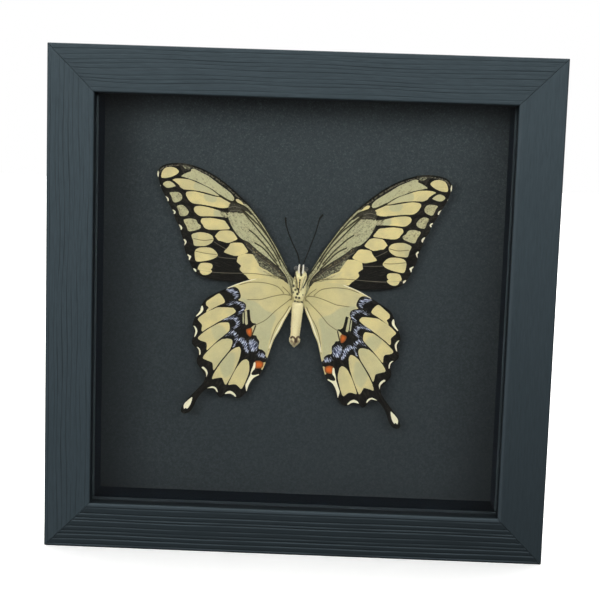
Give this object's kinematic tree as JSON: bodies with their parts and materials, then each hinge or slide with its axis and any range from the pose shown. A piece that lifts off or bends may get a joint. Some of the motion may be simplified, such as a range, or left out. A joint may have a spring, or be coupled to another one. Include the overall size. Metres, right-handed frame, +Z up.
{
  "type": "framed butterfly specimen",
  "caption": "Swallowtail butterfly mounted underside outwards on a dark board behind glass, in a square black-stained wooden shadow box frame.",
  "frame": {"origin": "centre of the floor under the frame, below the middle of its depth", "axes": "+Z up, +X to the right seen from the front, +Y from the glass side towards the wall"},
  "size_m": [0.203, 0.038, 0.203],
  "materials": {
    "stained_wood": "black-stained, brushed grain, satin",
    "steel": "plated",
    "window_glass": "clear",
    "black_foam": "matte foam",
    "mount_paper": "matte blue-black paper",
    "hardboard": "pressed hardboard",
    "brass": "plated, satin",
    "body_scales": "cream hairs and scales",
    "dark_cuticle": "dark brown cuticle",
    "wing_scales": "cream, black, blue and orange scales"
  },
  "bodies": {
    "root": {"rail_bottom": "stained_wood", "rail_left": "stained_wood", "rail_top": "stained_wood", "rail_right": "stained_wood", "tab_bottom_1": "steel", "tab_bottom_2": "steel", "tab_left_1": "steel", "tab_left_2": "steel", "tab_top_1": "steel", "tab_top_2": "steel", "tab_right_1": "steel", "tab_right_2": "steel", "glass_pane": "window_glass", "spacer_top": "black_foam", "spacer_bottom": "black_foam", "spacer_left": "black_foam", "spacer_right": "black_foam", "mount_board": "mount_paper", "backing_board": "hardboard", "hanger": "brass", "hanger_rivet_left": "steel", "hanger_rivet_right": "steel", "mounting_pad": "black_foam", "thorax": "body_scales", "abdomen": "body_scales", "head": "dark_cuticle", "palp_left": "body_scales", "palp_right": "body_scales", "foreleg_left": "body_scales", "foreleg_right": "body_scales", "midleg_left": "body_scales", "midleg_right": "body_scales", "antenna_left": "dark_cuticle", "antenna_right": "dark_cuticle", "forewing_left": "wing_scales", "forewing_right": "wing_scales", "hindwing_left": "wing_scales", "hindwing_right": "wing_scales"}
  },
  "joints": []
}
